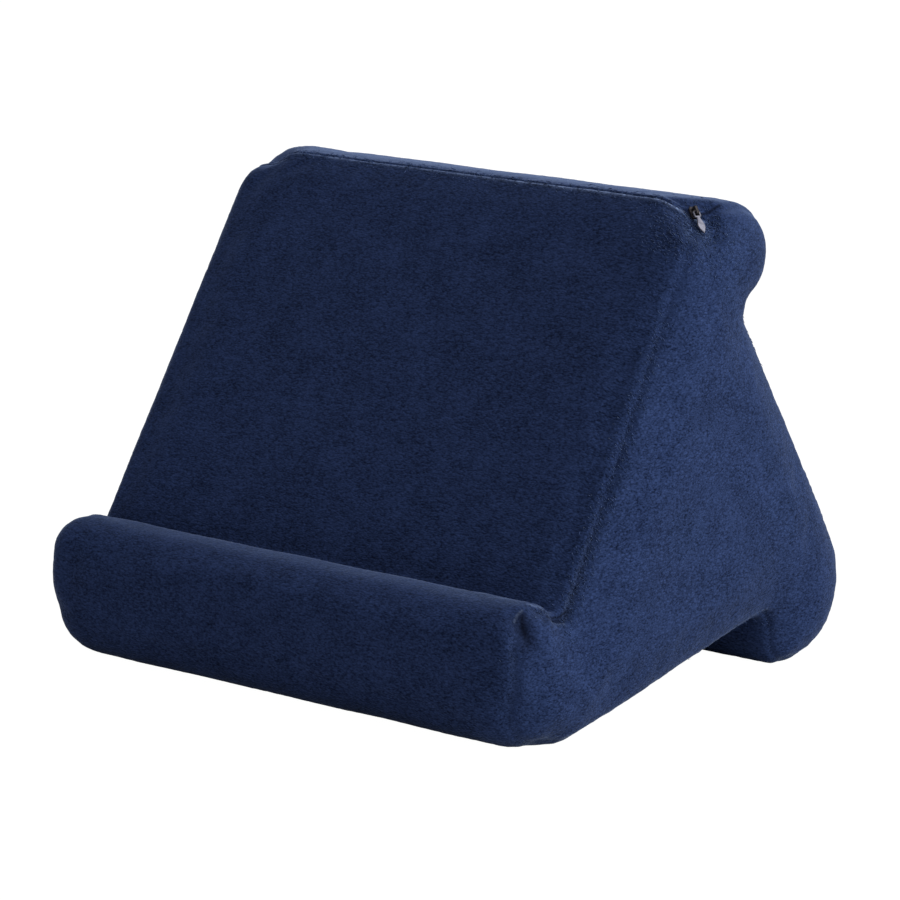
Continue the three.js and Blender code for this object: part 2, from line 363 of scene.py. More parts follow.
stations = [(i / ACROSS_SPANS, 0) for i in range(ACROSS_SPANS + 1)] + [(1, turn) for turn in EDGE_TURNS]
right_gapes = [zip_gape(*station) for station in stations]
left_gapes = [zip_gape(-across, turn) for across, turn in stations]
right_rings = [wrap_ring(*station, gape, 1) for station, gape in zip(stations, right_gapes)]
left_rings = [wrap_ring(*station, gape, LEFT_SEAM) for station, gape in zip(stations, left_gapes)]
mirror = np.array((-1, 1, 1))
rings = [left_drawn(ring * mirror) for ring in left_rings[:0:-1]] + right_rings
gapes = np.array(left_gapes[:0:-1] + right_gapes)
ring_size = len(section["at"])
print(len(rings), "rings of", ring_size, "points")

# %% [markdown]
# An end panel is a flat cut of cloth that is sewn to the wrap all round. Rings that shrink towards
# its middle would bunch up in the corners, so it is filled with evenly spaced points instead and
# joined into triangles.

# %% Points of an end panel
PANEL_STEP = 4.4
SEAM_ROWS = (1.4, 3.2)
ROW_CLEAR = 0.9 * SEAM_ROWS[0]
FILL_CLEAR = 0.62 * PANEL_STEP
ROW_HEIGHT = math.sqrt(0.75)  # of a triangle whose sides are all one unit long


def inside(points, ring):
    """Which points are inside a closed ring, by counting how often a ray crosses it."""
    start = ring[None]
    end = np.roll(ring, -1, 0)[None]
    y, z = points[:, None, 0], points[:, None, 1]
    spans = (start[..., 1] > z) != (end[..., 1] > z)
    rise = np.where(spans, end[..., 1] - start[..., 1], 1)
    crossing = start[..., 0] + (z - start[..., 1]) / rise * (end[..., 0] - start[..., 0])
    return (spans & (y < crossing)).sum(1) % 2 == 1


def thinned(points, kept, gap):
    """The points that stand at least a gap apart from each other and from the kept ones."""
    kept = list(kept)
    first = len(kept)
    for point in points:
        if np.linalg.norm(np.array(kept) - point, axis=1).min() >= gap:
            kept.append(point)
    return np.array(kept[first:])


def even_points(ring):
    """Two close rows along the seam, then an even spread of triangles over the rest of the panel."""
    inward = section["core"] - ring
    inward /= np.linalg.norm(inward, axis=1)[:, None]
    rows = np.concatenate([ring + inward * gap for gap in SEAM_ROWS])
    rows = thinned(rows, ring, ROW_CLEAR)
    low, high = ring.min(0), ring.max(0)
    columns = np.arange(low[0], high[0], PANEL_STEP)
    points = []
    for k, z in enumerate(np.arange(low[1], high[1], PANEL_STEP * ROW_HEIGHT)):
        shift = PANEL_STEP / 2 * (k % 2)
        points.append(np.column_stack((columns + shift, np.full(len(columns), z))))
    points = np.concatenate(points)
    points = points[inside(points, ring)]
    taken = np.concatenate((ring, rows))
    gaps = np.linalg.norm(points[:, None] - taken[None], axis=2).min(1)
    return np.concatenate((rows, points[gaps > FILL_CLEAR]))


seam_ring = right_rings[-1]
panel_points = even_points(seam_ring[:, 1:])
print(len(panel_points), "points in each end panel")

# %% [markdown]
# How far each point of a panel stands out depends on how far it is from the edge: a quarter circle
# first, then a slow crown. The end of the zip draws the panel in a little.

# %% Crown of an end panel
PANEL_CROWN = 4.6
CROWN_REACH = 17
EDGE_BLEND = 4
KNOT_SPREAD = 9
AT_KNOT = 0.99
FINER_EDGE = 4
INSIDE_ONLY = 1  # asks for the triangles inside the edges and no others
TINY = 1e-6


def panel_stand_out(points):
    """How far out the panel stands at each of its points."""
    ahead = np.roll(section["at"], -1, 0) - section["at"]
    dense = np.concatenate([section["at"] + ahead * (k / FINER_EDGE) for k in range(FINER_EDGE)])
    edge = np.tile(section["edge"], FINER_EDGE)
    knot = np.tile(section["knot"], FINER_EDGE)
    gaps = np.linalg.norm(points[:, None] - dense[None], axis=2)
    weights = np.maximum(gaps, TINY) ** -EDGE_BLEND
    local = (weights * edge).sum(1) / weights.sum(1)
    depth = gaps.min(1)
    turn = np.arccos(np.clip(1 - depth / local, 0, 1))
    crown = PANEL_CROWN * (1 - np.exp(-((depth / CROWN_REACH) ** 2)))
    zip_gap = np.where(knot > AT_KNOT, gaps, np.inf).min(1)
    drawn = ZIP_KNOT * np.exp(-((zip_gap / KNOT_SPREAD) ** 2))
    return half_width(points) - local + local * np.sin(turn) + crown - drawn


def panel_triangles(ring, points):
    """Joins the ring and the points inside it into triangles, as indices into ring then points."""
    places = [Vector(p) for p in np.concatenate((ring, points))]
    edges = [(i, (i + 1) % len(ring)) for i in range(len(ring))]
    _, _, faces, origins, _, _ = delaunay_2d_cdt(places, edges, [], INSIDE_ONLY, TINY)
    turned = []
    for face in faces:
        a, b, c = (origins[v][0] for v in face)
        area = (places[b] - places[a]).cross(places[c] - places[a])
        turned.append((a, b, c) if area > 0 else (a, c, b))
    return turned


panel_x = panel_stand_out(panel_points)
triangles = panel_triangles(seam_ring[:, 1:], panel_points)
print(len(triangles), "triangles in each end panel, which stands", round(panel_x.max(), 1), "mm out")

# %% [markdown]
# Wrap and panels become one closed mesh. A mark on every point says whether it is on an end panel,
# because the pile of the panels was brushed another way.

# %% One closed cover
wrap_points = np.concatenate(rings)
last_ring = len(wrap_points) - ring_size
right_panel = np.column_stack((panel_x, panel_points))
places = np.concatenate((wrap_points, right_panel, left_drawn(right_panel * mirror))) * MM
right_start = len(wrap_points)
left_start = right_start + len(right_panel)


def cover_faces():
    faces = []
    for ring in range(len(rings) - 1):
        for i in range(ring_size):
            a = ring * ring_size + i
            b = ring * ring_size + (i + 1) % ring_size
            faces.append((a, b, b + ring_size, a + ring_size))
    for triangle in triangles:
        on_right = [last_ring + v if v < ring_size else right_start + v - ring_size for v in triangle]
        on_left = [v if v < ring_size else left_start + v - ring_size for v in triangle]
        faces.append(tuple(on_right))
        faces.append(tuple(reversed(on_left)))
    return faces


def make_object(name, vertices, faces):
    mesh = bpy.data.meshes.new(name)
    mesh.from_pydata([tuple(v) for v in vertices], [], faces)
    mesh.validate()
    made = bpy.data.objects.new(name, mesh)
    bpy.context.collection.objects.link(made)
    return made


def add_mark(made, name, values, kind="FLOAT"):
    """Keeps a value for each point of a mesh under a name."""
    mark = made.data.attributes.new(name, kind, "POINT")
    mark.data.foreach_set("vector" if kind == "FLOAT_VECTOR" else "value", np.ravel(values))


cover = make_object("plush_cover", places, cover_faces())
on_panel = np.zeros(len(places))
on_panel[right_start:] = 1
add_mark(cover, "end_panel", on_panel)
print(len(places), "points,", len(cover.data.polygons), "faces")

# %% [markdown]
# A cushion is held in where it is sewn: along the end seams, beside the zip and in the hollow corners.
# Those points are pinned. The rest may move, but less and less towards the slider, which is rigid, and
# only half as far behind the zip, where the top roll shows its outline most clearly.

# %% What holds the cloth
SLIDER_CALM = 22 * MM
TOP_STUFFED = 0.5
ZIP_PINNED = 3
slider_low, slider_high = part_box("zip_slider")
slider_middle = np.array((slider_low + slider_high) / 2)
held_rows = (section["held"] > 0) | (np.abs(section["zip"]) < ZIP_PINNED)
pinned = np.zeros(len(places), bool)
pinned[:right_start] = np.tile(held_rows, len(rings))
pinned[:ring_size] = True
pinned[last_ring:right_start] = True
free = np.clip(np.linalg.norm(places - slider_middle, axis=1) / SLIDER_CALM, 0, 1) ** 2
on_top = (section["at"][:, 1] > CORNERS["notch"][1]) & (section["at"][:, 0] > CORNERS["zip"][0])
free[:right_start] *= np.where(np.tile(on_top, len(rings)), TOP_STUFFED, 1)
print(pinned.sum(), "of", len(places), "points are pinned")

# %% [markdown]
# A real cushion gets its shape from stuffing that pushes on the cloth. Sculpting could imitate that, but
# Blender's cloth does the same as the stuffing, with pressure from inside. The cover starts a little
# small, and no point may move further than a millimetre or two, so the stand keeps its measured size.

# %% Stuff the cover
SHRINK = 0.3 * MM
SPARE_CLOTH = 0.004
CLOTH_QUALITY = 6
CLOTH_MASS = 0.2
PRESSURE = 4
FRAMES = 20
CAP = 1.6 * MM
LEAST = -0.4 * MM


def read_vectors(mesh, kind):
    """The places (co) or the normals (normal) of a mesh's points."""
    flat = np.empty(len(mesh.vertices) * 3)
    mesh.vertices.foreach_get(kind, flat)
    return flat.reshape(-1, 3)


def write_places(mesh, where):
    mesh.vertices.foreach_set("co", where.ravel())
    mesh.update()


def stuff(made, pinned, free):
    """Swells a closed mesh with pressure. free is the share of the cap that each point may move."""
    group = made.vertex_groups.new(name="held")
    group.add([int(i) for i in np.flatnonzero(pinned)], 1, "REPLACE")
    start = read_vectors(made.data, "co")
    outward = read_vectors(made.data, "normal")
    write_places(made.data, start - outward * SHRINK * (free * ~pinned)[:, None])
    cloth = made.modifiers.new("stuffing", "CLOTH")
    cloth.settings.quality = CLOTH_QUALITY
    cloth.settings.mass = CLOTH_MASS
    cloth.settings.use_pressure = True
    cloth.settings.uniform_pressure_force = PRESSURE
    cloth.settings.shrink_min = -SPARE_CLOTH
    cloth.settings.vertex_group_mass = group.name
    cloth.settings.effector_weights.gravity = 0
    for step in range(1, FRAMES + 1):
        bpy.context.scene.frame_set(step)
    seen = made.evaluated_get(bpy.context.evaluated_depsgraph_get())
    moved = read_vectors(seen.data, "co") - start
    made.modifiers.remove(cloth)
    made.vertex_groups.remove(group)
    bpy.context.scene.frame_set(1)
    length = np.maximum(np.linalg.norm(moved, axis=1), TINY * MM)
    moved *= np.minimum(1, CAP * free / length)[:, None]
    rise = (moved * outward).sum(1)
    moved += outward * np.maximum(0, LEAST * free - rise)[:, None]
    write_places(made.data, start + moved)
    return (moved * outward).sum(1)


swelled = stuff(cover, pinned, free)
print("the stuffing moved the wrap by", round(swelled[:right_start].mean() / MM, 2),
      "mm and the end panels by", round(swelled[right_start:].mean() / MM, 2), "mm on average")

# %% [markdown]
# The simulation is quick because its mesh is coarse, with points some 4 mm apart. Seams and puckers
# are finer than that. One level of subdivision, applied once the stuffing is done, gives them enough
# points and rounds off the last flat facets.

# %% Finer cloth
bpy.context.view_layer.objects.active = cover
smooth = cover.modifiers.new("finer", "SUBSURF")
smooth.levels = 1
smooth.render_levels = 1
bpy.ops.object.modifier_apply(modifier=smooth.name)
print("finer cover:", len(cover.data.polygons), "faces")

# %% [markdown]
# Sewn cloth sinks along its seams, and the marks of a seam fade with the distance from it. So the
# first thing to know about each point of the finer mesh is how far it is from the nearest seam, where
# along the seam that is, and how much of the seam shows there. The pile hides it beside the slider.

# %% Distances to the seams
FINER_RING = 6
SLIDER_HIDES = 65 * MM


def dense_ring(ring, values):
    """A closed ring with points between its points: places, lengths along it, and values."""
    shares = np.arange(FINER_RING)[:, None] / FINER_RING
    ahead = np.roll(ring, -1, 0) - ring
    dense = (ring[:, None] + shares[None] * ahead[:, None]).reshape(-1, 3)
    lengths = np.linalg.norm(np.roll(dense, -1, 0) - dense, axis=1)
    return dense, np.concatenate(((0,), np.cumsum(lengths)[:-1])), np.repeat(values, FINER_RING)


def nearest(tree_points, where):
    """Distance to the nearest of some points, and which one it is."""
    tree = KDTree(len(tree_points))
    for i, point in enumerate(tree_points):
        tree.insert(point, i)
    tree.balance()
    found = [tree.find(point) for point in where]
    return np.array([f[2] for f in found]), np.array([f[1] for f in found])


right_seam, right_along, right_shows = dense_ring(rings[-1] * MM, section["seam"])
left_seam, left_along, left_shows = dense_ring(rings[0] * MM, section["seam"] * LEFT_SEAM)
seams = np.concatenate((right_seam, left_seam))
# The left seam counts on from well past the right one, so their puckers differ
along = np.concatenate((right_along, left_along + 2 * right_along.max()))
shows = np.concatenate((right_shows, left_shows))
where = read_vectors(cover.data, "co")
normals = read_vectors(cover.data, "normal")
seam_gap, seam_index = nearest(seams, where)
slider_gap = np.linalg.norm(where - slider_middle, axis=1)
seam_shows = shows[seam_index] * np.clip(slider_gap / SLIDER_HIDES, 0, 1) ** 2
print("the right seam is", round(right_along.max() / MM), "mm long")

# %% [markdown]
# Pressure leaves a cover that is too perfect. Besides sinking at its seams, sewn cloth puckers a little
# beside them, and the stuffing under it is never quite even. Where the right end is gathered, beside
# the trough and at the front of the ledge, the seam pulls small pockets in. All this moves the points
# along their normals, by the distance to the seam and by smooth noise.

# %% Seams, puckers and pockets
SEAM_SINK = 1.1 * MM
SEAM_HALF = 0.9 * MM
SEAM_PUFF = 0.45 * MM
PUFF_AWAY = 4.5 * MM
PUFF_HALF = PUFF_AWAY / 1.6
PUCKER = 0.35 * MM
PUCKER_LENGTH = 6.5 * MM
PUCKER_REACH = 8 * MM
LUMP = 0.4 * MM
LUMP_SIZE = 34 * MM
LUMP_SEED = 3
PILE_RELIEF = 0.16 * MM
PILE_SIZE = 2.6 * MM
PILE_SEED = 11
# The mark made from these is painted shade: darker cloth along the open seams, where shade falls.
CREASE_SHADE_HALF = 0.65 * MM
CREASE_SHADE_USUAL = 0.8
CREASE_SHADE_DRIFT = 0.4
POCKET_SHADE = 0.75
# Pockets at the right end, in millimetres: from and to a place (x, y, z), half width and depth
POCKETS = {
    "ledge_end": ((125, -107.5, 57.5), (131, -108.5, 49), 4.2, 3.2),
    "trough_end": ((129.5, -96, 54.5), (127.5, -83.5, 52.5), 1.5, 1.2),
}


def noise_at(where, size, seed):
    return np.array([noise.noise(Vector(p) / size + Vector((seed, seed, seed))) for p in where])


def line_share(where, start, end, half):
    """1 along a line and 0 well away from it. The line and the half width are in millimetres."""
    arms = where / MM - start
    along = np.subtract(end, start)
    share = np.clip(arms @ along / (along @ along), 0, 1)
    gap = np.linalg.norm(arms - share[:, None] * along, axis=1)
    return np.exp(-((gap / half) ** 2))


sunk = np.exp(-((seam_gap / SEAM_HALF) ** 2))
puff = np.exp(-(((seam_gap - PUFF_AWAY) / PUFF_HALF) ** 2))
wave = np.array([noise.noise(Vector((t / PUCKER_LENGTH, 0, 0))) for t in along])[seam_index]
fade = np.exp(-seam_gap / PUCKER_REACH) * (1 - sunk)
height = seam_shows * (SEAM_PUFF * puff - SEAM_SINK * sunk) + PUCKER * wave * fade * (where[:, 0] > 0)
height += LUMP * noise_at(where, LUMP_SIZE, LUMP_SEED) + PILE_RELIEF * noise_at(where, PILE_SIZE, PILE_SEED)
pocket = np.zeros(len(where))
for start, end, half, depth in POCKETS.values():
    share = line_share(where, start, end, half)
    height -= depth * MM * share
    pocket = np.maximum(pocket, share)
# Painted shade along the open seams and in the pockets.
crease_shade = seam_shows * np.exp(-((seam_gap / CREASE_SHADE_HALF) ** 2)) * (CREASE_SHADE_USUAL + CREASE_SHADE_DRIFT * wave)
crease_shade = np.maximum(crease_shade, POCKET_SHADE * pocket)
calm = np.clip(slider_gap / SLIDER_CALM, 0, 1) ** 2
where = where + normals * (height * calm)[:, None]
print("the relief goes from", round(height.min() / MM, 2), "to", round(height.max() / MM, 2), "mm")

# %% [markdown]
# The slider and its pull are rigid and stay where they were packed, so the cloth gives way to them.
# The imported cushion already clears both, which makes it a handy guide: near the zip's end no point of
# the cover may stand out of that solid.

# %% Room for the slider
ZIP_NEAR = 9 * MM
ZIP_ROOM = 0.2 * MM


def mesh_tree(made):
    corners = [vertex.co for vertex in made.data.vertices]
    return BVHTree.FromPolygons(corners, [tuple(polygon.vertices) for polygon in made.data.polygons])


solid = mesh_tree(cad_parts["cushion"])
hardware = [mesh_tree(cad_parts[name]) for name in ("zip_slider", "zip_pull")]
tucked = 0
for i in np.flatnonzero(np.linalg.norm(where - slider_middle, axis=1) < SLIDER_CALM):
    point = Vector(where[i])
    near = min(tree.find_nearest(point)[3] for tree in hardware)
    foot, outward, _, _ = solid.find_nearest(point)
    proud = (point - foot).dot(outward) + ZIP_ROOM
    # The nearer half of the zone gives way in full, and the rest less and less towards its rim
    if proud > 0 and near < ZIP_NEAR:
        where[i] = point - outward * proud * min(1, 2 - 2 * near / ZIP_NEAR)
        tucked += 1
where[:, 2] = np.maximum(where[:, 2], 0)
write_places(cover.data, where)
for polygon in cover.data.polygons:
    polygon.use_smooth = True
print(tucked, "points tucked under the slider and the pull")

# %% [markdown]
# The folded edge in front of the zip catches the light as a thin pale welt, broken into dashes, and a fainter
# one runs beside the lower part of the right end seam. Both are painted highlights. Either could be a strip
# of its own, but it is only the same cloth turned over, so a mark on the cover tells the finish where to
# paint the highlight.

# %% Painted highlight on the welt
ZIP_FINER = 8
WELT_AWAY = 0.5 * MM
WELT_FADE = 0.6 * MM
WELT_END = 7 * MM
WELT_DASH = 3.5 * MM
DASH_SEED = 7
DASH_USUAL = 0.6
DASH_DRIFT = 0.4
DASH_RIGHT = 0.35
FRONT_FROM = -52 * MM
FRONT_FADE = 30 * MM
FRONT_SEAM_HIGHLIGHT = 0.08
FRONT_HIGHLIGHT_AWAY = 0.9 * MM
FRONT_HIGHLIGHT_HALF = 0.5 * MM

zip_index = int(np.abs(section["zip"]).argmin())
zip_floor = np.array([ring[zip_index] for ring in rings])
zip_up = np.array((0, *section["out"][zip_index]))
zip_line = (zip_floor + zip_up * GROOVE_DEPTH * gapes[:, None]) * MM
zip_steps = np.linspace(zip_line[:-1], zip_line[1:], ZIP_FINER, endpoint=False, axis=1).reshape(-1, 3)
zip_gap, zip_near = nearest(zip_steps, where)
down_slope = unit(np.subtract(CORNERS["trough"][:2], CORNERS["zip"][:2]))
ahead = ((where - zip_steps[zip_near])[:, 1:] * down_slope).sum(1)
to_right = where[:, 0] / where[:, 0].max()
dashes = DASH_USUAL + DASH_DRIFT * noise_at(where, WELT_DASH, DASH_SEED) + DASH_RIGHT * to_right
rising = np.clip(ahead / WELT_AWAY, 0, 1) ** 2
falling = np.exp(-np.maximum(0, ahead - WELT_AWAY) / WELT_FADE)
# Painted highlight on the lit fold in front of the zip.
welt_highlight = np.clip(dashes, 0, 1) * rising * falling * (zip_gap < WELT_END)
front = np.clip((FRONT_FROM - where[:, 1]) / FRONT_FADE, 0, 1) * (where[:, 0] > 0)
beside = np.exp(-(((seam_gap - FRONT_HIGHLIGHT_AWAY) / FRONT_HIGHLIGHT_HALF) ** 2))
# A fainter painted highlight beside the lower right end seam, where the pile catches the lamp.
welt_highlight = np.maximum(welt_highlight, FRONT_SEAM_HIGHLIGHT * seam_shows * front * beside * (1 - pocket))
add_mark(cover, "crease_shade", crease_shade)
add_mark(cover, "welt_highlight", welt_highlight)
print("the zip is", round((zip_line[-1] - zip_line[0])[0] / MM), "mm long")

# %% [markdown]
# A few lines are finer than the mesh: creases of painted shade that run back from the slider, down the pocket
# in the ledge and along the end of the trough, and two pale edges of painted highlight beside the pocket
# where the cloth folds over.
# Each is a short row of places given on the cover. The finish draws them later, and no loose fibres grow in
# the creases.

# %% Lines finer than the mesh
# The fine creases are painted shade, dark lines where shade falls in the cloth.
# Half width, then places (x, y, z) along the line, in millimetres
FINE_SHADED_CREASES = {
    "zip_end": (1.2, (117.4, 21.5, 202.2), (118.2, 24.8, 203.1), (119.4, 27.2, 203.9), (121.2, 31, 206)),
    "ledge_end": (4.2, (124.7, -103.9, 57.4), (125.2, -104.8, 55.8), (126, -105.3, 53.4),
                  (129.3, -107.5, 50.6)),
    "trough_end": (1.1, (129.3, -93.7, 55.9), (126.2, -85.8, 53.3), (126.6, -82.4, 53.1),
                   (127.6, -79.2, 54.7)),
}
# Pale edges are painted highlights where the folded cloth catches the light.
HIGHLIGHT_EDGES = {
    "ledge_end": (0.9, (123.6, -102.6, 59.4), (123, -105.1, 57.6), (123.2, -106.9, 55.5)),
    "ledge_back": (1.3, (121.6, -96.3, 60.5), (124, -94.1, 59.6), (125.7, -91.8, 58.2)),
}


def spans(lines):
    """Each straight span of some lines: its half width, start and end."""
    return [(half, *ends) for half, *line in lines.values() for ends in zip(line, line[1:])]


print(len(spans(FINE_SHADED_CREASES)), "spans of crease and", len(spans(HIGHLIGHT_EDGES)), "of pale edge")

# %% [markdown]
# Loose fibres work out where the cloth was cut and sewn: along the open seams, along the zip and most of all
# beside and below the slider. A mesh can carry such values as named attributes, which both materials and
# Geometry Nodes read. One says how thick the fibres are, one which way they lean, and a third where light
# from above catches the tips of the pile, for a painted highlight that is weaker low down, with painted shade
# in the lee of the slope.

# %% Loose fibres and lit tips
FLUFF_REACH = 3.2 * MM
SEAM_FLUFF = 0.42
HIDDEN_SEAM = 0.2
ZIP_FLUFF = 0.25
ZIP_FLUFF_REACH = 2.4 * MM
SLIDER_FLUFF = 1.3
SLIDER_FLUFF_REACH = 12 * MM
SLIDER_FLUFF_SHIFT = np.array((1, -4, -7)) * MM
TOP_FLUFF = 0.15
FLOOR_CALM = 10 * MM
BARE_CREASE = 2
LEAN_OUT = 0.7
LEAN_DOWN = -0.3
# Painted shade: low down, in the lee of the slope, the lit tips keep only this share.
LEE_SHADE = 0.35
TUFTED = 0.3

open_seam = np.clip((seam_shows - HIDDEN_SEAM) / (1 - HIDDEN_SEAM), 0, 1)
fluff = SEAM_FLUFF * open_seam * np.exp(-((seam_gap / FLUFF_REACH) ** 2)) * (where[:, 0] > 0)
fluff = np.maximum(fluff, ZIP_FLUFF * np.exp(-((zip_gap / ZIP_FLUFF_REACH) ** 2)))
upward = np.clip(read_vectors(cover.data, "normal")[:, 2], 0, 1)
fluff_gap = np.linalg.norm(where - slider_middle - SLIDER_FLUFF_SHIFT, axis=1)
slider_fluff = SLIDER_FLUFF * np.exp(-((fluff_gap / SLIDER_FLUFF_REACH) ** 2))
fluff = np.maximum(fluff, slider_fluff * (1 - (1 - TOP_FLUFF) * upward**2))
fluff *= np.clip(where[:, 2] / FLOOR_CALM, 0, 1) ** 2 * (1 - pocket)
for _, start, end in spans(FINE_SHADED_CREASES):
    fluff *= 1 - line_share(where, start, end, BARE_CREASE)
lean = np.zeros((len(where), 3))
lean[:, 0] = np.sign(where[:, 0]) * LEAN_OUT
lean[:, 2] = LEAN_DOWN
add_mark(cover, "fluff", fluff)
add_mark(cover, "lean", lean, "FLOAT_VECTOR")
# This mark is painted light: up-facing cloth, less of it low down in the lee of the slope.
add_mark(cover, "upward", upward * (LEE_SHADE + (1 - LEE_SHADE) * (where[:, 2] / where[:, 2].max()) ** 2))
print(round((fluff > TUFTED).mean() * 100, 1), "percent of the cover carries loose fibres")

# %% [markdown]
# Materials and Geometry Nodes are both node trees, and a tree is mostly the same few moves: add a node,
# set or link its inputs, do a sum, ask for noise. Writing each link out would hide what a finish is made
# of, so these moves get short names first.

# %% Helpers for node trees
def put(tree, kind, inputs, **settings):
    """Adds a node, with each input either linked from a socket or set to a value."""
    made = tree.nodes.new(kind)
    for name, value in settings.items():
        setattr(made, name, value)
    for name, value in inputs.items():
        if isinstance(value, bpy.types.NodeSocket):
            tree.links.new(value, made.inputs[name])
        else:
            made.inputs[name].default_value = value
    return made


def maths(tree, operation, *values):
    return put(tree, "ShaderNodeMath", dict(enumerate(values)), operation=operation).outputs[0]


def vectors(tree, operation, first, second, output=0):
    """A sum of two vectors or the like. Output 1 is a plain number, such as a dot product."""
    return put(tree, "ShaderNodeVectorMath", {0: first, 1: second}, operation=operation).outputs[output]


def spread(tree, value, low, high, to_low, to_high):
    """Takes a value from one range into another, and keeps it there."""
    inputs = dict(enumerate((value, low, high, to_low, to_high)))
    return put(tree, "ShaderNodeMapRange", inputs).outputs["Result"]


def noise_in(tree, where, scale, detail, rough=0.5):
    inputs = {"Vector": where, "Scale": scale, "Detail": detail, "Roughness": rough}
    return put(tree, "ShaderNodeTexNoise", inputs).outputs[0]


def new_group(kind, name, inputs, outputs):
    """A new node group, with the sockets of its input and output nodes."""
    group = bpy.data.node_groups.new(name, kind)
    for socket, socket_type, value in inputs:
        made = group.interface.new_socket(socket, in_out="INPUT", socket_type=socket_type)
        if value is not None:
            made.default_value = value
    for socket, socket_type in outputs:
        group.interface.new_socket(socket, in_out="OUTPUT", socket_type=socket_type)
    return group, group.nodes.new("NodeGroupInput").outputs, group.nodes.new("NodeGroupOutput").inputs


# %% [markdown]
# Short plush is thousands of fibre tips. From a step away they show as fine grain, in rows along the
# width where the cloth was brushed that way. A picture of cloth could be projected on it, but noise in
# object space has no stretch and no seams. The grain is a node group, because the slope, the end panels
# and the loose tufts all use it, each with its own size of tuft.

# %% Pile grain
NOISE_LOW = 0.3  # most of a noise texture lies between these two values
NOISE_HIGH = 0.7
TIP_DETAIL = 1.0
TIP_ROUGH = 0.6
TUFT_SCALE = 0.75
TUFT_CORE = 0.1
TUFT_RIM = 0.85
TIP_SHADE = 0.45
TUFT_SHADE = 0.25
TONE_SHADE = 0.3
TIP_HEIGHT = 0.5


def make_pile_grain():
    """Shade and height of the pile. Size holds the length of a tuft along each axis."""
    group, given, out = new_group("ShaderNodeTree", "pile_grain", [
        ("Vector", "NodeSocketVector", None),
        ("Size", "NodeSocketVector", (MM, MM, MM)),
    ], [("Shade", "NodeSocketFloat"), ("Height", "NodeSocketFloat")])
    where = vectors(group, "DIVIDE", given["Vector"], given["Size"])
    tip = spread(group, noise_in(group, where, 1.0, TIP_DETAIL, TIP_ROUGH), NOISE_LOW, NOISE_HIGH, 0, 1)
    cell_inputs = {"Vector": where, "Scale": TUFT_SCALE, "Randomness": 1.0}
    cells = put(group, "ShaderNodeTexVoronoi", cell_inputs).outputs
    tone = put(group, "ShaderNodeSeparateColor", {"Color": cells["Color"]}).outputs["Red"]
    tuft = spread(group, cells["Distance"], TUFT_CORE, TUFT_RIM, 1, 0)
    mixed = maths(group, "MULTIPLY_ADD", tip, TIP_SHADE, maths(group, "MULTIPLY", tuft, TUFT_SHADE))
    group.links.new(maths(group, "MULTIPLY_ADD", tone, TONE_SHADE, mixed), out["Shade"])
    group.links.new(maths(group, "MULTIPLY_ADD", tip, TIP_HEIGHT, tuft), out["Height"])
    return group


pile_grain = make_pile_grain()
print("the group", pile_grain.name, "has", len(pile_grain.nodes), "nodes")

# %% [markdown]
# The lines that are finer than the mesh can still be exact, because a material can measure: a node
# group takes the straight line between two places and gives a mask that is strong on it and fades out
# beside it. The places are set on the finished cover first, so that they lie in the cloth.

# %% Fine lines in the finish
def make_fine_line():
    """A mask that is 1 on a straight line from start to end, and 0 a width away from it."""
    group, given, out = new_group("ShaderNodeTree", "fine_line", [
        ("Vector", "NodeSocketVector", None),
        ("Start", "NodeSocketVector", (0, 0, 0)),
        ("End", "NodeSocketVector", (0, 0, MM)),
        ("Width", "NodeSocketFloat", MM),
    ], [("Mask", "NodeSocketFloat")])
    arm = vectors(group, "SUBTRACT", given["Vector"], given["Start"])
    line = vectors(group, "SUBTRACT", given["End"], given["Start"])
    reach = vectors(group, "DOT_PRODUCT", arm, line, 1)
    whole = vectors(group, "DOT_PRODUCT", line, line, 1)
    share = spread(group, maths(group, "DIVIDE", reach, whole), 0, 1, 0, 1)
    foot = put(group, "ShaderNodeVectorMath", {0: line, "Scale": share}, operation="SCALE").outputs[0]
    gap = vectors(group, "DISTANCE", arm, foot, 1)
    group.links.new(spread(group, gap, 0, given["Width"], 1, 0), out["Mask"])
    return group


def on_cover(place):
    """The nearest point of the finished cover."""
    return cover_tree.find_nearest(Vector(place) * MM)[0]


def line_mask(tree, where, lines):
    """The strongest of some lines on the cover."""
    mask = 0
    for half, start, end in spans(lines):
        values = {"Vector": where, "Start": on_cover(start), "End": on_cover(end), "Width": half * MM}
        line = put(tree, "ShaderNodeGroup", values, node_tree=fine_line)
        mask = maths(tree, "MAXIMUM", line.outputs["Mask"], mask)
    return mask


cover_tree = mesh_tree(cover)
fine_line = make_fine_line()
print("the group", fine_line.name, "has", len(fine_line.nodes), "nodes")

# %% [markdown]
# Where the cover is sewn, its colour changes: painted highlights make the welt and the folded edges lighter,
# and painted shade makes the creases nearly black. High up, a painted highlight stands for fibre tips that
# catch light where the cloth turns away from view, weaker low in the lee of the slope. Painting all this
# would need an unwrapped cover, so the marks and the fine lines drive it, and a Layer Weight node gives the
# angle of view.

# %% Painted highlights and shade where the cover is sewn
# Painted shade, nearly black, for the creases and pockets.
CREASE_SHADE_NAVY = (0.001, 0.0016, 0.005, 1)
# Painted highlight of fibre tips lit from above.
FUZZ_HIGHLIGHT = (0.066, 0.098, 0.205, 1)
# Painted highlight of the welt.
WELT_HIGHLIGHT_NAVY = (0.21, 0.28, 0.47, 1)
HIGHLIGHT_POWER = 2.5
HIGHLIGHT_BLEND = 0.5
# Share of painted highlight along the pale edges.
EDGE_HIGHLIGHT = 0.3
WELT_SHADES = (0.15, 0.75)  # from the dark to the lit pile, more of the welt shows
WELT_SHARES = (0.4, 1)
CREASE_SHADE_STRENGTH = 0.85


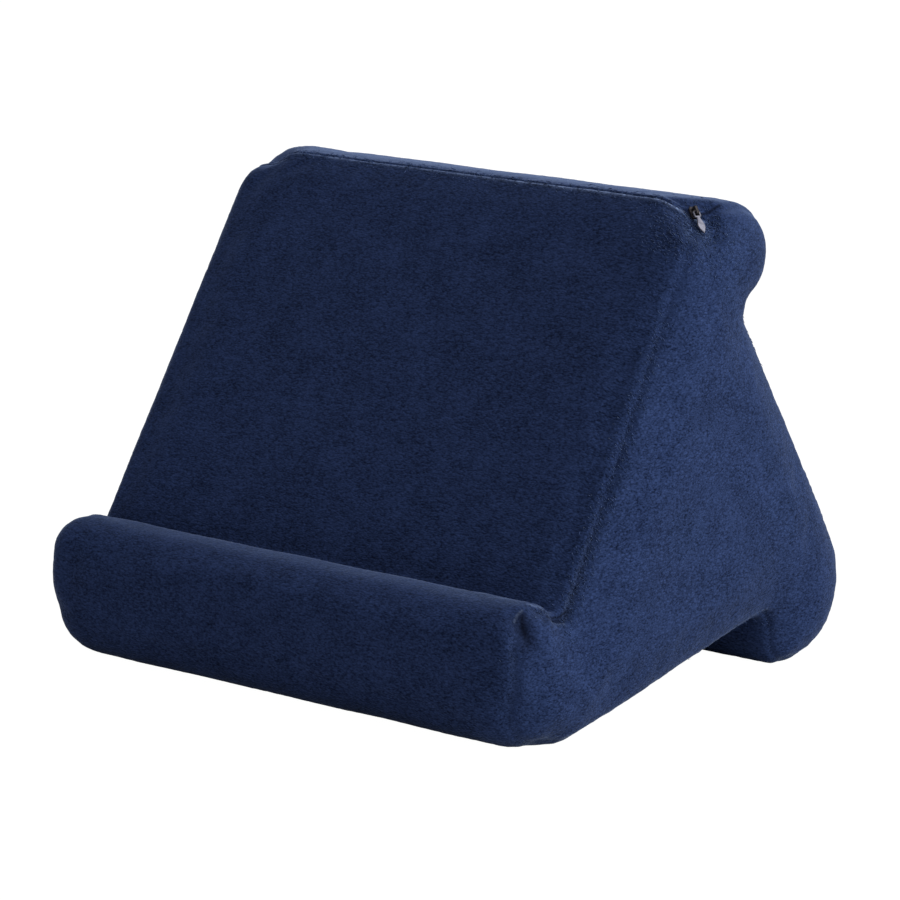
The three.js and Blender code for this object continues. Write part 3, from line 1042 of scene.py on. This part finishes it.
def between(tree, factor, first, second):
    """A colour between two colours."""
    return put(tree, "ShaderNodeMix", {0: factor, 6: first, 7: second}, data_type="RGBA").outputs[2]


def marked(tree, name):
    """One of the cover's marks, in a material."""
    return put(tree, "ShaderNodeAttribute", {}, attribute_name=name).outputs["Fac"]


def painted_fuzz_highlight(tree, colour):
    """Painted highlight: fibre tips catch the light from above where the cloth turns away, so the colour is
    painted lighter there, less so low in the lee of the slope.
    """
    facing = put(tree, "ShaderNodeLayerWeight", {"Blend": HIGHLIGHT_BLEND}).outputs["Facing"]
    rim_highlight = maths(tree, "MULTIPLY", maths(tree, "POWER", facing, HIGHLIGHT_POWER), marked(tree, "upward"))
    return between(tree, rim_highlight, colour, FUZZ_HIGHLIGHT)


def sewn_colour(tree, where, lit, colour):
    """The colour of the cover with the painted highlights of its welt and fuzzy edge, and the painted shade
    of its creases.
    """
    # Painted highlight along the pale edges.
    edge = maths(tree, "MULTIPLY", line_mask(tree, where, HIGHLIGHT_EDGES), EDGE_HIGHLIGHT)
    # Painted highlight: the welt and the pale edges, stronger on the lit pile.
    welt_highlight = maths(tree, "MAXIMUM", marked(tree, "welt_highlight"), edge)
    highlight_share = maths(tree, "MULTIPLY", welt_highlight, spread(tree, lit, *WELT_SHADES, *WELT_SHARES))
    colour = painted_fuzz_highlight(tree, between(tree, highlight_share, colour, WELT_HIGHLIGHT_NAVY))
    # Painted shade in the creases and pockets.
    crease_shade = maths(tree, "MAXIMUM", marked(tree, "crease_shade"), line_mask(tree, where, FINE_SHADED_CREASES))
    return between(tree, maths(tree, "MULTIPLY", crease_shade, CREASE_SHADE_STRENGTH), colour, CREASE_SHADE_NAVY)


print("a crease takes away", round(CREASE_SHADE_STRENGTH * 100), "percent of the cloth's own colour")

# %% [markdown]
# Plush is dark between its fibres and lighter at their tips, with soft light and dark patches where the pile
# leans differently, and a little sheen. The end panels are brushed another way than the wrap, so the same
# grain has another size there. The loose tufts stand in the light, so they get a painted highlight that makes
# them lighter, most of all near the slider.

# %% Plush
DEEP_NAVY = (0.0022, 0.0051, 0.0178, 1)
TIP_NAVY = (0.0186, 0.034, 0.1, 1)
# Painted highlight: the tufts are lighter than the cover's pile, as they stand in the light.
TUFT_HIGHLIGHT_NAVY = (0.056, 0.094, 0.23, 1)
PALE_TUFT_HIGHLIGHT = (0.17, 0.26, 0.52, 1)
SHEEN_TINT = (0.5, 0.64, 1, 1)
ROW_SIZE = (1.3 * MM, 0.6 * MM, 0.6 * MM)
PANEL_SIZE = (0.8 * MM, 1.15 * MM, 0.63 * MM)
PATCH_SIZE = 15 * MM
PATCH_DETAIL = 3.0
PATCH_ROUGH = 0.55
PATCH_DARK = 0.4  # the middle shade of a dark patch, and of a light one
PATCH_LIGHT = 0.62
MID_SHADE = 0.5
CONTRAST = 1.2
PILE_BUMP = 0.35
PILE_DEPTH = 0.4 * MM
ROUGH_DEEP = 1
ROUGH_TIPS = 0.82
SHEEN = 0.18
SHEEN_ROUGH = 0.28
PILE_GLOSS = 0.05


def new_material(name):
    """A new material, with its node tree and its shader."""
    material = bpy.data.materials.new(name)
    material.use_nodes = True
    return material, material.node_tree, material.node_tree.nodes["Principled BSDF"]


def object_place(tree):
    """Where each point is on its own object."""
    return put(tree, "ShaderNodeTexCoord", {}).outputs["Object"]


def blended(tree, factor, first, second):
    """A number between two numbers."""
    return put(tree, "ShaderNodeMix", {0: factor, 2: first, 3: second}).outputs[0]


def make_plush(name, loose):
    """Navy plush for the cover, with its end panels, the painted shade of its creases and the painted
    highlight of its welt, or for the loose tufts, which get a painted highlight.
    """
    material, tree, shader = new_material(name)
    where = object_place(tree)
    rows = put(tree, "ShaderNodeGroup", {"Vector": where, "Size": ROW_SIZE}, node_tree=pile_grain).outputs
    shade, height = rows["Shade"], rows["Height"]
    tip_colour = TIP_NAVY
    if loose:
        # Painted highlight, lightest where the tufts are thickest, near the slider.
        tuft_highlight = spread(tree, marked(tree, "fluff"), SEAM_FLUFF, 1, 0, 1)
        tip_colour = between(tree, tuft_highlight, TUFT_HIGHLIGHT_NAVY, PALE_TUFT_HIGHLIGHT)
    else:
        panel_values = {"Vector": where, "Size": PANEL_SIZE}
        panel = put(tree, "ShaderNodeGroup", panel_values, node_tree=pile_grain).outputs
        on_end = marked(tree, "end_panel")
        shade = blended(tree, on_end, shade, panel["Shade"])
        height = blended(tree, on_end, height, panel["Height"])
    patch = noise_in(tree, where, 1 / PATCH_SIZE, PATCH_DETAIL, PATCH_ROUGH)
    darkest = PATCH_DARK - MID_SHADE * CONTRAST
    lightest = PATCH_LIGHT - MID_SHADE * CONTRAST
    leaning = spread(tree, patch, NOISE_LOW, NOISE_HIGH, darkest, lightest)
    lit = maths(tree, "MULTIPLY_ADD", shade, CONTRAST, leaning)
    colour = between(tree, lit, DEEP_NAVY, tip_colour)
    if not loose:
        colour = sewn_colour(tree, where, lit, colour)
    bump_inputs = {"Strength": PILE_BUMP, "Distance": PILE_DEPTH, "Height": height}
    tree.links.new(colour, shader.inputs["Base Color"])
    tree.links.new(spread(tree, lit, 0, 1, ROUGH_DEEP, ROUGH_TIPS), shader.inputs["Roughness"])
    tree.links.new(put(tree, "ShaderNodeBump", bump_inputs).outputs[0], shader.inputs["Normal"])
    shader.inputs["Sheen Weight"].default_value = SHEEN
    shader.inputs["Sheen Roughness"].default_value = SHEEN_ROUGH
    shader.inputs["Sheen Tint"].default_value = SHEEN_TINT
    shader.inputs["Specular IOR Level"].default_value = PILE_GLOSS
    return material


plush = make_plush("navy_plush", False)
tuft_plush = make_plush("navy_plush_tufts", True)
cover.data.materials.append(plush)
print("materials", plush.name, "and", tuft_plush.name)

# %% [markdown]
# Two things repeat many times over: the loose tufts and the turns of the zip. Geometry Nodes set such
# copies on a surface or along a path. Both trees end the same way, in real geometry with a material,
# and both results are kept as plain meshes, because the export drops instances.

# %% Geometry Nodes helpers
GEOMETRY = ("Geometry", "NodeSocketGeometry")


def geometry_tree(name, inputs):
    return new_group("GeometryNodeTree", name, [(*GEOMETRY, None), *inputs], [GEOMETRY])


def finish_tree(tree, geometry, out, material):
    """Ends a tree: real geometry, smooth, with its material."""
    real = put(tree, "GeometryNodeRealizeInstances", {"Geometry": geometry}).outputs[0]
    smooth = put(tree, "GeometryNodeSetShadeSmooth", {"Geometry": real}).outputs[0]
    done = put(tree, "GeometryNodeSetMaterial", {"Geometry": smooth, "Material": material}).outputs[0]
    tree.links.new(done, out["Geometry"])


def grown(name, source, tree, values):
    """Runs a tree on a copy of an object and keeps the result as a plain mesh."""
    carrier = source.copy()
    bpy.context.collection.objects.link(carrier)
    modifier = carrier.modifiers.new(name, "NODES")
    modifier.node_group = tree
    for item in tree.interface.items_tree:
        if item.name in values:
            modifier[item.identifier] = values[item.name]
    carrier.update_tag()
    depsgraph = bpy.context.evaluated_depsgraph_get()
    mesh = bpy.data.meshes.new_from_object(carrier.evaluated_get(depsgraph), depsgraph=depsgraph)
    mesh.name = name
    bpy.data.objects.remove(carrier)
    made = bpy.data.objects.new(name, mesh)
    bpy.context.collection.objects.link(made)
    return made


def named(tree, name, kind):
    return put(tree, "GeometryNodeInputNamedAttribute", {"Name": name}, data_type=kind).outputs["Attribute"]


# %% [markdown]
# Where two edges of plush meet, single tufts stand out and cross the seam. Hair particles could make
# them, but the export wants meshes. So a small bent cone is scattered over the cover, as thickly as its
# mark says. Each one lies close to the cloth, leans out and down, and strays from that a little.

# %% Loose tufts
TUFTS_PER_MM2 = 2.2
TUFT_LENGTH = 2.0 * MM
TUFT_THICKNESS = 0.32 * MM
TUFT_BEND = 0.7
TUFT_SEED = 5
SHORTEST = 0.55
LONGEST = 1.25
LENGTH_SEED = 3
UPRIGHT = (0.08, 0.08, 0.08)
PROUD = (0.12 * MM, 0.12 * MM, 0.12 * MM)
STRAY = (0.55, 0.55, 0.55)


def bent_cone(tree, bend):
    """A slim cone one unit long, bent more and more towards its tip."""
    cone_inputs = {"Vertices": 3, "Side Segments": 2, "Radius Top": 0.0, "Radius Bottom": 0.5, "Depth": 1.0}
    cone = put(tree, "GeometryNodeMeshCone", cone_inputs).outputs["Mesh"]
    place = put(tree, "GeometryNodeInputPosition", {}).outputs[0]
    rise = put(tree, "ShaderNodeSeparateXYZ", {0: place}).outputs["Z"]
    aside = maths(tree, "MULTIPLY", maths(tree, "POWER", rise, 2), bend)
    offset = put(tree, "ShaderNodeCombineXYZ", {"X": aside}).outputs[0]
    return put(tree, "GeometryNodeSetPosition", {"Geometry": cone, "Offset": offset}).outputs[0]


def tuft_turn(tree, normal, seed):
    """How each tuft is turned: along its lean and a stray direction, kept close to the cloth."""
    range_inputs = {0: (-1, -1, -1), 1: (1, 1, 1), "Seed": seed}
    stray = put(tree, "FunctionNodeRandomValue", range_inputs, data_type="FLOAT_VECTOR").outputs[0]
    along = vectors(tree, "ADD", vectors(tree, "MULTIPLY", stray, STRAY), named(tree, "lean", "FLOAT_VECTOR"))
    along = vectors(tree, "SUBTRACT", along, vectors(tree, "PROJECT", along, normal))
    along = vectors(tree, "ADD", along, vectors(tree, "MULTIPLY", normal, UPRIGHT))
    return put(tree, "FunctionNodeAlignRotationToVector", {"Vector": along}, axis="Z").outputs["Rotation"]


def make_tuft_tree():
    tree, given, out = geometry_tree("loose_tufts", [
        ("Density", "NodeSocketFloat", 1.0),
        ("Length", "NodeSocketFloat", 1.0),
        ("Thickness", "NodeSocketFloat", 1.0),
        ("Bend", "NodeSocketFloat", 1.0),
        ("Seed", "NodeSocketInt", 0),
    ])
    density = maths(tree, "MULTIPLY", named(tree, "fluff", "FLOAT"), given["Density"])
    scatter_inputs = {"Mesh": given["Geometry"], "Density": density, "Seed": given["Seed"]}
    scatter = put(tree, "GeometryNodeDistributePointsOnFaces", scatter_inputs).outputs
    share_inputs = {2: SHORTEST, 3: LONGEST, "Seed": LENGTH_SEED}
    share = put(tree, "FunctionNodeRandomValue", share_inputs, data_type="FLOAT").outputs[1]
    length = maths(tree, "MULTIPLY", given["Length"], share)
    size_inputs = {"X": given["Thickness"], "Y": given["Thickness"], "Z": length}
    lift = vectors(tree, "MULTIPLY", scatter["Normal"], PROUD)
    lift_inputs = {"Geometry": scatter["Points"], "Offset": lift}
    placed = put(tree, "GeometryNodeInstanceOnPoints", {
        "Points": put(tree, "GeometryNodeSetPosition", lift_inputs).outputs[0],
        "Instance": bent_cone(tree, given["Bend"]),
        "Rotation": tuft_turn(tree, scatter["Normal"], given["Seed"]),
        "Scale": put(tree, "ShaderNodeCombineXYZ", size_inputs).outputs[0],
    }).outputs[0]
    finish_tree(tree, placed, out, tuft_plush)
    return tree


tufts = grown("plush_tufts", cover, make_tuft_tree(), {
    "Density": TUFTS_PER_MM2 / MM**2,
    "Length": TUFT_LENGTH,
    "Thickness": TUFT_THICKNESS,
    "Bend": TUFT_BEND,
    "Seed": TUFT_SEED,
})
print("tufts:", len(tufts.data.polygons), "faces")

# %% [markdown]
# Deep between the lips of the zip lie its teeth, turns of a nylon coil no bigger than a grain of rice.
# They sit at an even pitch along the zip, so one turn is modelled and Geometry Nodes set it along the
# line at the bottom of the groove.

# %% Zip coil
COIL_PITCH = 1.1 * MM
COIL_DEPTH = 1.3 * MM
COIL_TURN = (0.85 * MM, 1.0 * MM, 0.8 * MM)
COIL_COLOUR = (0.004, 0.007, 0.02, 1)
COIL_DETAIL = 2.0
COIL_SMOOTH = 0.35
COIL_ROUGH = 0.6


def make_coil_tree(material):
    tree, given, out = geometry_tree("zip_coil", [
        ("Pitch", "NodeSocketFloat", 1.0),
        ("Turn size", "NodeSocketVector", (1.0, 1.0, 1.0)),
    ])
    line = put(tree, "GeometryNodeMeshToCurve", {"Mesh": given["Geometry"]}).outputs[0]
    pitch_inputs = {"Curve": line, "Length": given["Pitch"]}
    points = put(tree, "GeometryNodeResampleCurve", pitch_inputs, mode="LENGTH").outputs[0]
    tangent = put(tree, "GeometryNodeInputTangent", {}).outputs[0]
    turn = put(tree, "FunctionNodeAlignRotationToVector", {"Vector": tangent}, axis="X").outputs["Rotation"]
    bead = put(tree, "GeometryNodeMeshUVSphere", {"Segments": 8, "Rings": 5, "Radius": 0.5}).outputs[0]
    bead_inputs = {"Points": points, "Instance": bead, "Rotation": turn, "Scale": given["Turn size"]}
    placed = put(tree, "GeometryNodeInstanceOnPoints", bead_inputs).outputs[0]
    finish_tree(tree, placed, out, material)
    return tree


def make_nylon():
    material, tree, shader = new_material("navy_nylon")
    grain = noise_in(tree, object_place(tree), 1 / MM, COIL_DETAIL)
    roughness = spread(tree, grain, NOISE_LOW, NOISE_HIGH, COIL_SMOOTH, COIL_ROUGH)
    tree.links.new(roughness, shader.inputs["Roughness"])
    tree.links.new(between(tree, grain, COIL_COLOUR, TIP_NAVY), shader.inputs["Base Color"])
    return material


zip_edges = [(i, i + 1) for i in range(len(zip_line) - 1)]
zip_mesh = bpy.data.meshes.new("zip_line")
zip_mesh.from_pydata([tuple(p) for p in zip_line - zip_up * COIL_DEPTH], zip_edges, [])
zip_path = bpy.data.objects.new("zip_line", zip_mesh)
coil_values = {"Pitch": COIL_PITCH, "Turn size": COIL_TURN}
coil = grown("zip_coil", zip_path, make_coil_tree(make_nylon()), coil_values)
bpy.data.objects.remove(zip_path)
print("zip coil:", len(coil.data.polygons), "faces")

# %% [markdown]
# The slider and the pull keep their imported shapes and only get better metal. Cheap zip hardware is
# cast and tumbled, so it is dull, a little blotched, and brighter where fingers rub it. Both metals
# use one group for that wear, each with its own colours.

# %% Metal of the zip
BLOTCH_LOW = 0.35
BLOTCH_HIGH = 0.65
BLOTCH_DETAIL = 3.0
GRIT_FINER = 8
GRIT_DETAIL = 1.0
GRIT_BUMP = 0.25
GRIT_DEPTH = 0.05 * MM
METALLIC = 0.85
METALS = {
    "zip_slider": {
        "name": "slider_gunmetal", "dull": (0.008, 0.007, 0.009, 1), "rubbed": (0.034, 0.03, 0.033, 1),
        "rough": 0.55, "smooth": 0.4, "blotch": 1.6 * MM,
    },
    "zip_pull": {
        "name": "pull_zinc", "dull": (0.085, 0.087, 0.115, 1), "rubbed": (0.17, 0.172, 0.215, 1),
        "rough": 0.55, "smooth": 0.42, "blotch": 2.2 * MM,
    },
}


def make_metal_wear():
    group, given, out = new_group("ShaderNodeTree", "metal_wear", [
        ("Vector", "NodeSocketVector", None),
        ("Blotch", "NodeSocketFloat", MM),
    ], [("Rubbed", "NodeSocketFloat"), ("Height", "NodeSocketFloat")])
    scale = maths(group, "DIVIDE", 1, given["Blotch"])
    blotch = noise_in(group, given["Vector"], scale, BLOTCH_DETAIL)
    grit = noise_in(group, given["Vector"], maths(group, "MULTIPLY", scale, GRIT_FINER), GRIT_DETAIL)
    group.links.new(spread(group, blotch, BLOTCH_LOW, BLOTCH_HIGH, 0, 1), out["Rubbed"])
    group.links.new(grit, out["Height"])
    return group


def make_metal(name, dull, rubbed, rough, smooth, blotch):
    material, tree, shader = new_material(name)
    wear_inputs = {"Vector": object_place(tree), "Blotch": blotch}
    wear = put(tree, "ShaderNodeGroup", wear_inputs, node_tree=metal_wear).outputs
    tree.links.new(between(tree, wear["Rubbed"], dull, rubbed), shader.inputs["Base Color"])
    tree.links.new(spread(tree, wear["Rubbed"], 0, 1, rough, smooth), shader.inputs["Roughness"])
    bump_inputs = {"Strength": GRIT_BUMP, "Distance": GRIT_DEPTH, "Height": wear["Height"]}
    tree.links.new(put(tree, "ShaderNodeBump", bump_inputs).outputs[0], shader.inputs["Normal"])
    shader.inputs["Metallic"].default_value = METALLIC
    return material


metal_wear = make_metal_wear()
for node, values in METALS.items():
    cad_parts[node].material_slots[0].material = make_metal(**values)
print("metals", [values["name"] for values in METALS.values()])

# %% [markdown]
# The picture was taken in a white studio: soft light from above, a stronger lamp at the right, and a
# floor bright enough to lose itself. One very wide sun lights the floor evenly, a white sky fills the
# shadows, and one round lamp makes the right end lighter than the front. The floor is lit a little
# from below, as a light table is, so that only a faint shadow is left.

# %% Floor and light
FLOOR_HALF = 12
FLOOR_WHITE = (0.82, 0.82, 0.82, 1)
FLOOR_ROUGH = 0.9
TABLE_GLOW = 0.94
GLOW_STRENGTH = 1.06
WHITE = (1, 1, 1, 1)
SKY = 0.32
SUN = 2.7
SUN_FROM = (0.45, 0.25, 0.86)
SUN_WIDTH = math.radians(80)
LAMP = 27
LAMP_SIZE = 0.9
LAMP_COLOUR = (1, 0.99, 0.88)
LAMP_FROM = (1.75, 0.22, 0.62)
LAMP_TO = (0, 0, 0.1)


def make_floor_white():
    material, tree, shader = new_material("studio_floor")
    shader.inputs["Base Color"].default_value = FLOOR_WHITE
    shader.inputs["Roughness"].default_value = FLOOR_ROUGH
    glow = put(tree, "ShaderNodeEmission", {"Color": WHITE, "Strength": GLOW_STRENGTH}).outputs[0]
    seen = put(tree, "ShaderNodeLightPath", {}).outputs["Is Camera Ray"]
    share = maths(tree, "MULTIPLY", seen, TABLE_GLOW)
    mixed = put(tree, "ShaderNodeMixShader", {0: share, 1: shader.outputs[0], 2: glow}).outputs[0]
    tree.links.new(mixed, tree.nodes["Material Output"].inputs["Surface"])
    return material


def make_light(name, kind, energy, place, target):
    light = bpy.data.lights.new(name, kind)
    light.energy = energy
    made = bpy.data.objects.new(name, light)
    made.location = place
    made.rotation_euler = (Vector(target) - Vector(place)).to_track_quat("-Z", "Y").to_euler()
    bpy.context.collection.objects.link(made)
    return light


floor_corners = [(FLOOR_HALF * x, FLOOR_HALF * y, 0) for x, y in ((-1, -1), (1, -1), (1, 1), (-1, 1))]
floor = make_object("floor", floor_corners, [(0, 1, 2, 3)])
floor.data.materials.append(make_floor_white())
world = bpy.data.worlds.new("studio")
bpy.context.scene.world = world
world.use_nodes = True
world.node_tree.nodes["Background"].inputs["Color"].default_value = WHITE
world.node_tree.nodes["Background"].inputs["Strength"].default_value = SKY
sun = make_light("sky_light", "SUN", SUN, SUN_FROM, (0, 0, 0))
sun.angle = SUN_WIDTH
lamp = make_light("right_lamp", "AREA", LAMP, LAMP_FROM, LAMP_TO)
lamp.shape = "DISK"
lamp.size = LAMP_SIZE
lamp.color = LAMP_COLOUR
bpy.context.scene.view_settings.view_transform = "Standard"
print("lights", [light.name for light in bpy.data.lights])

# %% [markdown]
# Last, the cover, the tufts and the coil are tied to the one body of the stand, because nothing on it moves
# by itself. The cover takes the place of the imported cushion, which is hidden.

# %% Tie the pieces to the body
for piece in (cover, tufts, coil):
    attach(piece, "root")
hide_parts("cushion")
